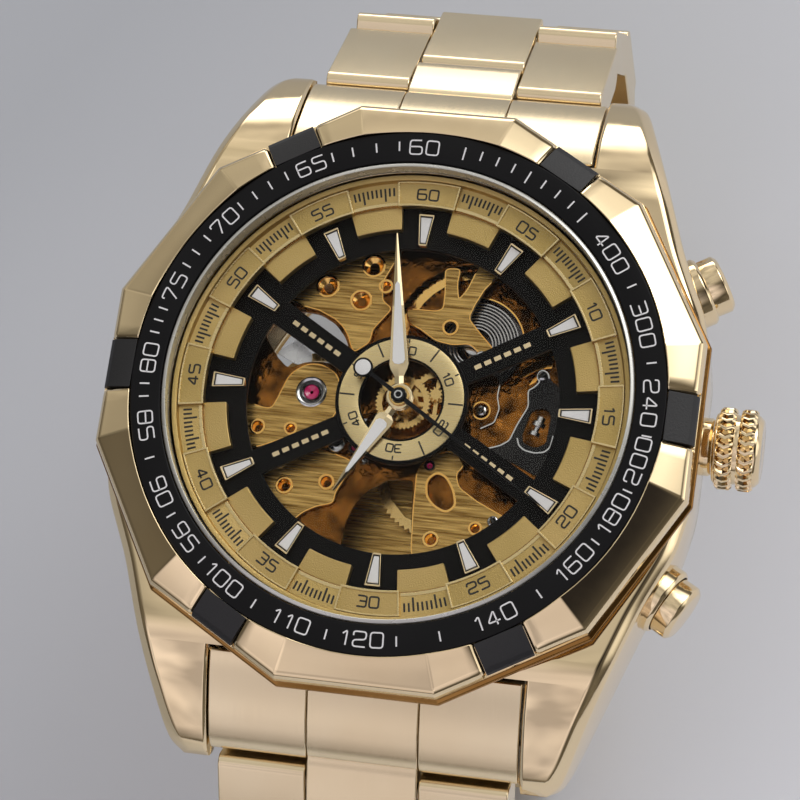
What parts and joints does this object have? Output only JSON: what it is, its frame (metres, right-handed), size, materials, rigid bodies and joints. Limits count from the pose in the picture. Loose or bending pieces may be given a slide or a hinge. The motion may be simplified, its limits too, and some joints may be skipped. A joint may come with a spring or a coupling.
{
  "type": "wristwatch",
  "caption": "Skeleton automatic wristwatch with a twelve-sided bezel, see-through dial, crown, push buttons and a folding-clasp link bracelet.",
  "frame": {"origin": "centre of the case back's outer face, on the dial's axis", "axes": "+Z out of the dial, +X towards the crown at 3 o'clock, +Y towards 12 o'clock"},
  "size_m": [0.0463, 0.0758, 0.052],
  "materials": {
    "gold_polished": "mirror polish, gold plated",
    "gold_satin": "satin, gold plated",
    "dial_gold": "matt gilt",
    "plate_gold": "line brushed gilt",
    "wheel_brass": "satin brass",
    "steel": "polished",
    "black_enamel": "satin black",
    "crystal_glass": "clear",
    "seal_white": "matt",
    "holder_plastic": "matt"
  },
  "bodies": {
    "case": {"mid_case": "gold_polished", "bezel": "gold_polished", "bezel_insert": "black_enamel", "crystal": "crystal_glass", "crystal_gasket": "seal_white", "case_back": "gold_polished", "case_back_window": "crystal_glass", "crown_tube": "steel", "pusher_sleeve_2": "gold_polished", "pusher_sleeve_4": "gold_polished", "end_link_12": "gold_satin", "end_link_6": "gold_satin", "spring_bar_12": "steel", "spring_bar_6": "steel", "chapter_ring": "dial_gold", "dial": "black_enamel", "centre_ring": "dial_gold", "movement_holder": "holder_plastic", "main_plate": "plate_gold", "barrel_bridge": "plate_gold", "train_bridge": "plate_gold", "balance_cock": "plate_gold", "pallet_bridge": "plate_gold", "rotor_bearing": "steel"},
    "seconds": {"fourth_wheel": "wheel_brass", "seconds_hand": "black_enamel"},
    "minutes": {"centre_wheel": "wheel_brass", "cannon_pinion": "wheel_brass", "minute_hand": "gold_polished"},
    "hours": {"hour_wheel": "wheel_brass", "hour_hand": "gold_polished"},
    "third": {"third_wheel": "wheel_brass"},
    "escape": {"escape_wheel": "steel"},
    "barrel": {"mainspring_barrel": "wheel_brass", "mainspring": "steel"},
    "ratchet": {"ratchet_wheel": "steel"},
    "crown_wheel": {"crown_wheel": "steel"},
    "minute_wheel": {"minute_wheel": "wheel_brass"},
    "pallet": {"pallet_fork": "steel"},
    "balance": {"balance_wheel": "wheel_brass", "hairspring": "steel"},
    "rotor": {"rotor": "steel"},
    "winding_pinion": {"winding_pinion": "steel"},
    "crown": {"crown": "gold_polished", "winding_stem": "steel"},
    "pusher_2": {"pusher_2": "gold_polished"},
    "pusher_4": {"pusher_4": "gold_polished"},
    "link_12_1": {"link_12_1": "gold_satin"},
    "link_12_2": {"link_12_2": "gold_satin"},
    "link_12_3": {"link_12_3": "gold_satin"},
    "link_12_4": {"link_12_4": "gold_satin"},
    "link_12_5": {"link_12_5": "gold_satin"},
    "link_6_1": {"link_6_1": "gold_satin"},
    "link_6_2": {"link_6_2": "gold_satin"},
    "link_6_3": {"link_6_3": "gold_satin"},
    "link_6_4": {"link_6_4": "gold_satin"},
    "link_6_5": {"link_6_5": "gold_satin"},
    "clasp_cover": {"clasp_cover": "gold_satin"},
    "clasp_outer_blade": {"clasp_outer_blade": "gold_satin"},
    "clasp_inner_blade": {"clasp_inner_blade": "gold_satin"}
  },
  "joints": [
    {"name": "seconds_turn", "type": "hinge", "parent": "case", "child": "seconds", "pos_m": [0, 0, 0.0035], "axis": [0, 0, -1], "continuous": true},
    {"name": "minutes_turn", "type": "hinge", "parent": "case", "child": "minutes", "pos_m": [0, 0, 0.0045], "axis": [0, 0, -1], "continuous": true},
    {"name": "hours_turn", "type": "hinge", "parent": "case", "child": "hours", "pos_m": [0, 0, 0.0082], "axis": [0, 0, -1], "continuous": true},
    {"name": "third_turn", "type": "hinge", "parent": "case", "child": "third", "pos_m": [0.00242, -0.00419, 0.004], "axis": [0, 0, -1], "continuous": true},
    {"name": "escape_turn", "type": "hinge", "parent": "case", "child": "escape", "pos_m": [-0.00239, -0.00414, 0.0062], "axis": [0, 0, -1], "continuous": true},
    {"name": "barrel_turn", "type": "hinge", "parent": "case", "child": "barrel", "pos_m": [0.0042, 0.0052, 0.0055], "axis": [0, 0, -1], "continuous": true},
    {"name": "minute_wheel_turn", "type": "hinge", "parent": "case", "child": "minute_wheel", "pos_m": [0.00226, 0.00082, 0.0077], "axis": [0, 0, -1], "continuous": true},
    {"name": "pallet_rock", "type": "hinge", "parent": "case", "child": "pallet", "pos_m": [-0.00398, -0.00246, 0.0062], "axis": [0, 0, 1], "range_deg": [-5, 5]},
    {"name": "balance_swing", "type": "hinge", "parent": "case", "child": "balance", "pos_m": [-0.0063, 0, 0.005], "axis": [0, 0, 1], "range_deg": [-270, 270]},
    {"name": "rotor_turn", "type": "hinge", "parent": "case", "child": "rotor", "pos_m": [0, 0, 0.002], "axis": [0, 0, 1], "continuous": true},
    {"name": "crown_turn", "type": "hinge", "parent": "case", "child": "winding_pinion", "pos_m": [0.0085, 0, 0.0043], "axis": [1, 0, 0], "continuous": true},
    {"name": "crown_pull", "type": "slide", "parent": "winding_pinion", "child": "crown", "axis": [1, 0, 0], "range_m": [0, 0.001]},
    {"name": "crown_wheel_turn", "type": "hinge", "parent": "case", "child": "crown_wheel", "pos_m": [0.00628, 0, 0.0032], "axis": [0, 0, 1], "continuous": true},
    {"name": "ratchet_turn", "type": "hinge", "parent": "case", "child": "ratchet", "pos_m": [0.0042, 0.0052, 0.0032], "axis": [0, 0, 1], "continuous": true},
    {"name": "pusher_2_press", "type": "slide", "parent": "case", "child": "pusher_2", "axis": [-0.866, -0.5, 0], "range_m": [0, 0.0007], "stiffness_N_per_m": 800, "springref_m": -0.0005},
    {"name": "pusher_4_press", "type": "slide", "parent": "case", "child": "pusher_4", "axis": [-0.866, 0.5, 0], "range_m": [0, 0.0007], "stiffness_N_per_m": 800, "springref_m": -0.0005},
    {"name": "bracelet_12_open", "type": "hinge", "parent": "case", "child": "link_12_1", "pos_m": [0, 0.0262, 0.0009], "axis": [1, 0, 0], "range_deg": [0, 8]},
    {"name": "hinge_12_2", "type": "hinge", "parent": "link_12_1", "child": "link_12_2", "pos_m": [0, 0.03274, -0.00499], "axis": [1, 0, 0], "range_deg": [0, 28.02]},
    {"name": "hinge_12_3", "type": "hinge", "parent": "link_12_2", "child": "link_12_3", "pos_m": [0, 0.03575, -0.01326], "axis": [1, 0, 0], "range_deg": [0, 28.02]},
    {"name": "hinge_12_4", "type": "hinge", "parent": "link_12_3", "child": "link_12_4", "pos_m": [0, 0.03452, -0.02197], "axis": [1, 0, 0], "range_deg": [0, 26.02]},
    {"name": "hinge_12_5", "type": "hinge", "parent": "link_12_4", "child": "link_12_5", "pos_m": [0, 0.0296, -0.02927], "axis": [1, 0, 0], "range_deg": [0, 26.02]},
    {"name": "bracelet_6_open", "type": "hinge", "parent": "case", "child": "link_6_1", "pos_m": [0, -0.0262, 0.0009], "axis": [-1, 0, 0], "range_deg": [0, 8]},
    {"name": "hinge_6_2", "type": "hinge", "parent": "link_6_1", "child": "link_6_2", "pos_m": [0, -0.03274, -0.00499], "axis": [-1, 0, 0], "range_deg": [0, 28.02]},
    {"name": "hinge_6_3", "type": "hinge", "parent": "link_6_2", "child": "link_6_3", "pos_m": [0, -0.03575, -0.01326], "axis": [-1, 0, 0], "range_deg": [0, 28.02]},
    {"name": "hinge_6_4", "type": "hinge", "parent": "link_6_3", "child": "link_6_4", "pos_m": [0, -0.03452, -0.02197], "axis": [-1, 0, 0], "range_deg": [0, 26.02]},
    {"name": "hinge_6_5", "type": "hinge", "parent": "link_6_4", "child": "link_6_5", "pos_m": [0, -0.0296, -0.02927], "axis": [-1, 0, 0], "range_deg": [0, 26.02]},
    {"name": "clasp_cover_hinge", "type": "hinge", "parent": "link_12_5", "child": "clasp_cover", "pos_m": [0, 0.02198, -0.03367], "axis": [1, 0, 0], "range_deg": [0, 9.25]},
    {"name": "clasp_outer_fold", "type": "hinge", "parent": "clasp_cover", "child": "clasp_outer_blade", "pos_m": [0, -0.0182, -0.03507], "axis": [1, 0, 0], "range_deg": [0, 50]},
    {"name": "clasp_inner_fold", "type": "hinge", "parent": "clasp_outer_blade", "child": "clasp_inner_blade", "pos_m": [0, 0.0166, -0.03507], "axis": [-1, 0, 0], "range_deg": [0, 60]}
  ],
  "couplings": [
    {"joint": "minutes_turn", "follows": "seconds_turn", "ratio": 0.016667},
    {"joint": "hours_turn", "follows": "seconds_turn", "ratio": 0.0013889},
    {"joint": "third_turn", "follows": "seconds_turn", "ratio": -0.13333},
    {"joint": "escape_turn", "follows": "seconds_turn", "ratio": -10},
    {"joint": "barrel_turn", "follows": "seconds_turn", "ratio": -0.0027778},
    {"joint": "minute_wheel_turn", "follows": "seconds_turn", "ratio": -0.0055556},
    {"joint": "crown_wheel_turn", "follows": "crown_turn", "ratio": 0.42857},
    {"joint": "ratchet_turn", "follows": "crown_turn", "ratio": -0.28571},
    {"joint": "hinge_12_2", "follows": "bracelet_12_open", "ratio": 3.5},
    {"joint": "hinge_12_3", "follows": "bracelet_12_open", "ratio": 3.5},
    {"joint": "hinge_12_4", "follows": "bracelet_12_open", "ratio": 3.25},
    {"joint": "hinge_12_5", "follows": "bracelet_12_open", "ratio": 3.25},
    {"joint": "hinge_6_2", "follows": "bracelet_6_open", "ratio": 3.5},
    {"joint": "hinge_6_3", "follows": "bracelet_6_open", "ratio": 3.5},
    {"joint": "hinge_6_4", "follows": "bracelet_6_open", "ratio": 3.25},
    {"joint": "hinge_6_5", "follows": "bracelet_6_open", "ratio": 3.25},
    {"joint": "clasp_cover_hinge", "follows": "bracelet_12_open", "ratio": 1.1542}
  ]
}
